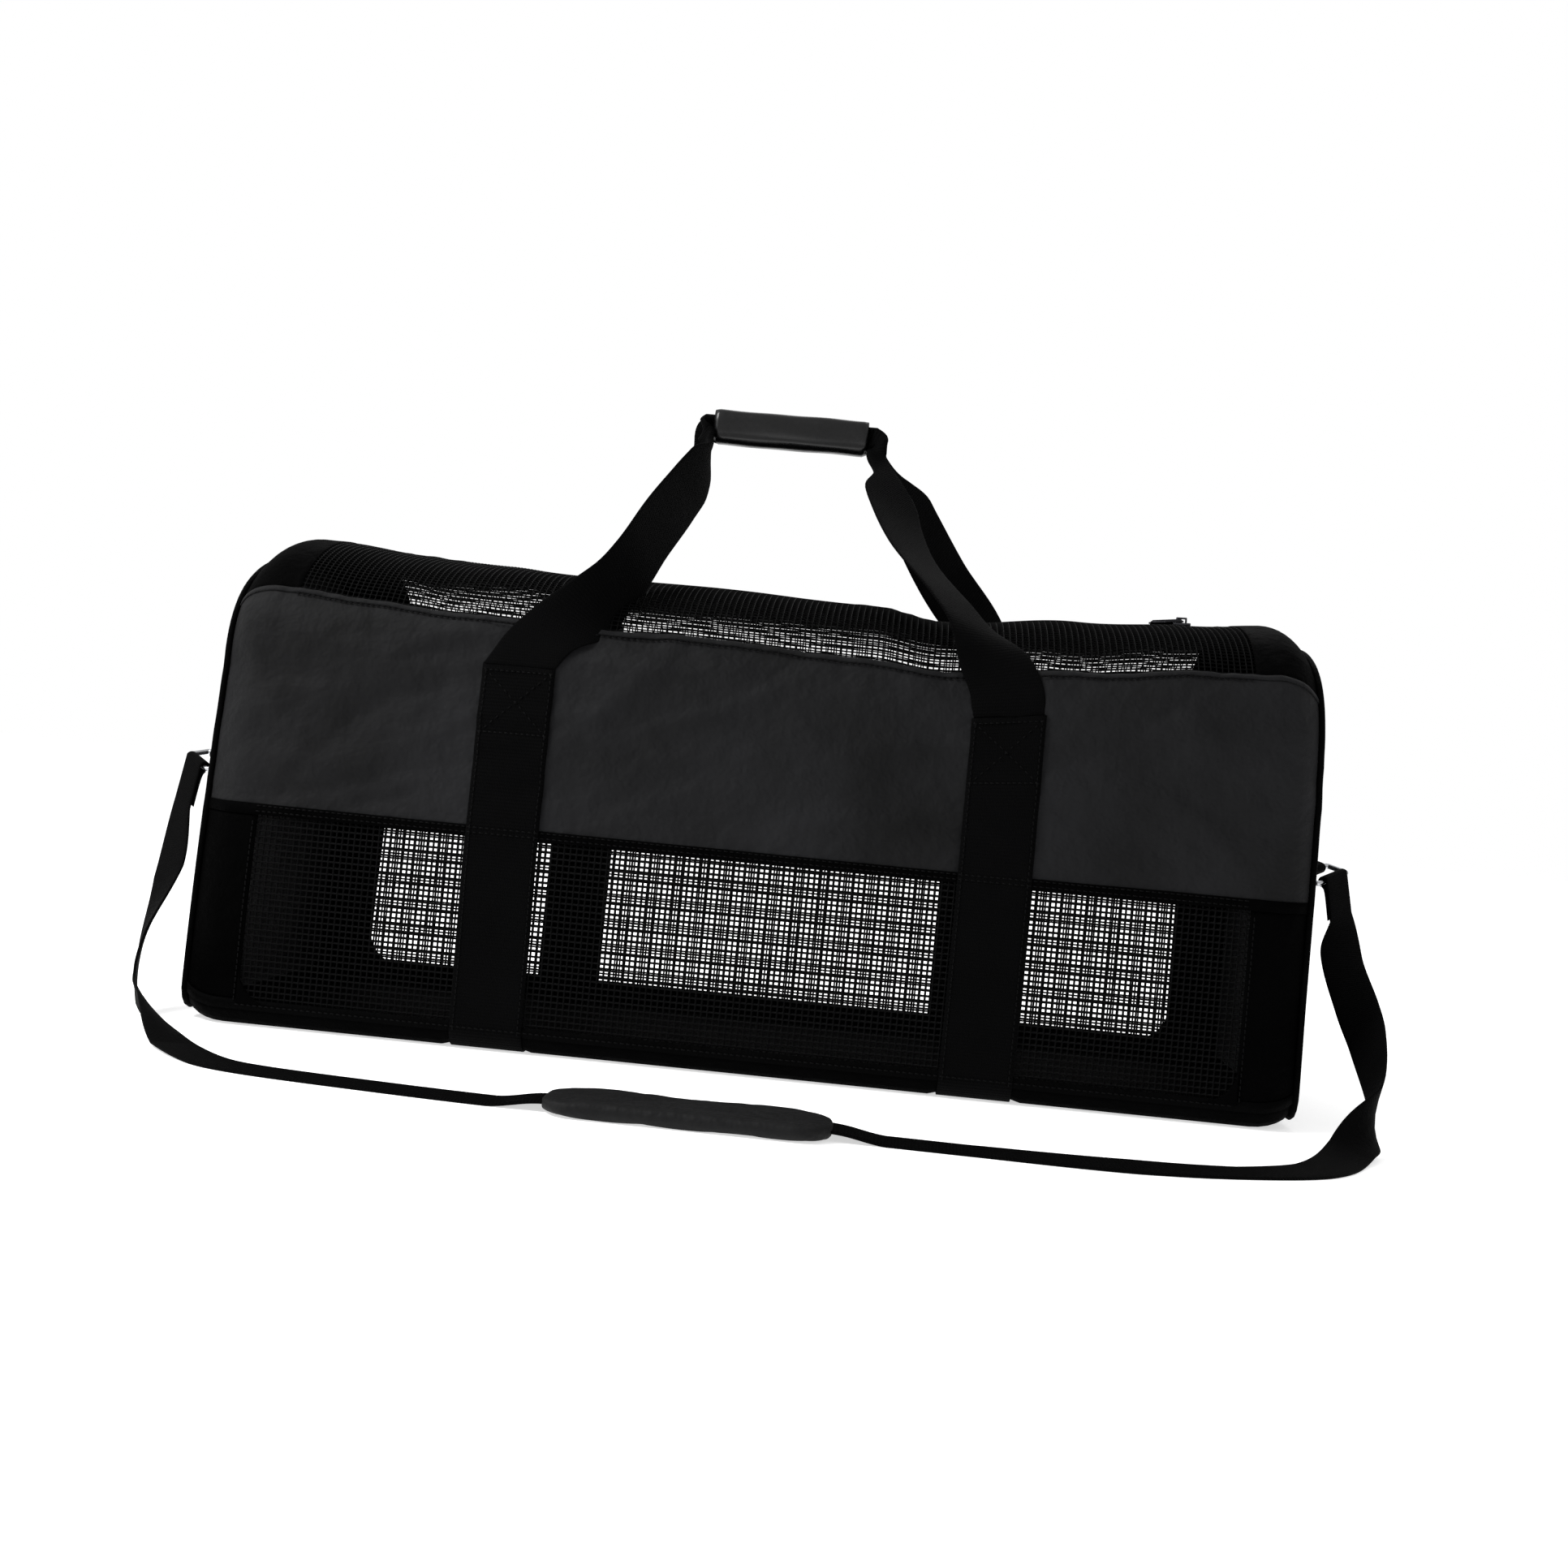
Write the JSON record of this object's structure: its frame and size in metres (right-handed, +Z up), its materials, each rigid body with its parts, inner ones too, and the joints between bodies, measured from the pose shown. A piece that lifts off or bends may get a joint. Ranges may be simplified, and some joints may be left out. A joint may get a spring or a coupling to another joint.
{
  "type": "mesh duffel bag",
  "caption": "Long black mesh duffel bag for dive gear, standing upright and empty, with two webbing handles joined by a wrap and a padded shoulder strap laid in front.",
  "frame": {"origin": "middle of the base's underside", "axes": "+X along the bag to the end where the zipper slider rests, +Y from the front, where the shoulder strap lies, to the back, +Z up"},
  "size_m": [0.9018, 0.5675, 0.4838],
  "materials": {
    "fabric": "matt woven nylon",
    "net": "coated open mesh, slight sheen",
    "webbing": "matt ribbed webbing",
    "grip": "smooth, slight sheen",
    "pad": "matt soft cloth",
    "steel": "bright",
    "coil": "moulded zipper coil"
  },
  "bodies": {
    "root": {"base_panel": "fabric", "front_upper_panel": "fabric", "back_upper_panel": "fabric", "front_border_left": "fabric", "front_border_right": "fabric", "back_border_left": "fabric", "back_border_right": "fabric", "top_border_left": "fabric", "top_border_right": "fabric", "end_panel_left": "fabric", "end_panel_right": "fabric", "piping_left": "fabric", "piping_right": "fabric", "front_net": "net", "back_net": "net", "top_net_front": "net", "top_net_back": "net", "zipper_tape_front": "webbing", "zipper_tape_back": "webbing", "zipper_coil": "coil", "zipper_slider": "steel", "zipper_pull": "steel", "sewn_webbing_left": "webbing", "sewn_webbing_right": "webbing", "handle_front": "webbing", "handle_back": "webbing", "grip_wrap": "grip", "ring_tab_left": "webbing", "ring_tab_right": "webbing", "ring_left": "steel", "ring_right": "steel", "shoulder_strap_left": "webbing", "shoulder_strap_right": "webbing", "shoulder_pad": "pad"}
  },
  "joints": []
}
